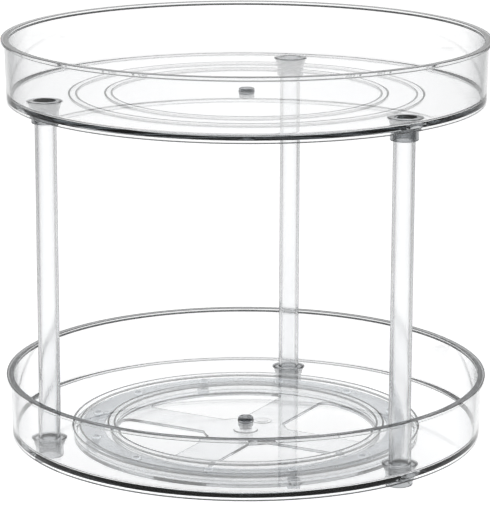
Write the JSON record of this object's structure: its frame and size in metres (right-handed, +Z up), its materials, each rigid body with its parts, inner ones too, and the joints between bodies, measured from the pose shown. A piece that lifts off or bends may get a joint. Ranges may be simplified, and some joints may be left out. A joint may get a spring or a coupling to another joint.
{
  "type": "lazy susan turntable",
  "caption": "Two-tier clear plastic turntable: round rimmed trays on tube posts that turn together on a ball race over a spoked base plate.",
  "frame": {"origin": "centre of the footprint, on the surface that the feet stand on", "axes": "+Z up along the turning axis, +Y towards the back post, +X to the right"},
  "size_m": [0.305, 0.305, 0.2645],
  "materials": {
    "clear_tray": "water-clear moulded plastic, polished",
    "clear_tube": "water-clear extruded tube",
    "clear_base": "clear moulded plastic",
    "pin_metal": "turned, satin",
    "cage_plastic": "translucent bluish grey, satin",
    "ball_plastic": "translucent white, polished",
    "foot_rubber": "translucent soft rubber, satin"
  },
  "bodies": {
    "base": {"base_plate": "clear_base", "pivot_pin": "pin_metal", "foot_1": "foot_rubber", "foot_2": "foot_rubber", "foot_3": "foot_rubber", "foot_4": "foot_rubber"},
    "turntable": {"upper_tray": "clear_tray", "lower_tray": "clear_tray", "post_back": "clear_tube", "post_left": "clear_tube", "post_right": "clear_tube"},
    "bearing": {"ball_cage": "cage_plastic", "ball_01": "ball_plastic", "ball_02": "ball_plastic", "ball_03": "ball_plastic", "ball_04": "ball_plastic", "ball_05": "ball_plastic", "ball_06": "ball_plastic", "ball_07": "ball_plastic", "ball_08": "ball_plastic", "ball_09": "ball_plastic", "ball_10": "ball_plastic", "ball_11": "ball_plastic", "ball_12": "ball_plastic"}
  },
  "joints": [
    {"name": "turntable_spin", "type": "hinge", "parent": "base", "child": "turntable", "pos_m": [0, 0, 0.0155], "axis": [0, 0, 1], "continuous": true},
    {"name": "cage_spin", "type": "hinge", "parent": "base", "child": "bearing", "pos_m": [0, 0, 0.0098], "axis": [0, 0, 1], "continuous": true}
  ],
  "couplings": [
    {"joint": "cage_spin", "follows": "turntable_spin", "ratio": 0.5}
  ]
}
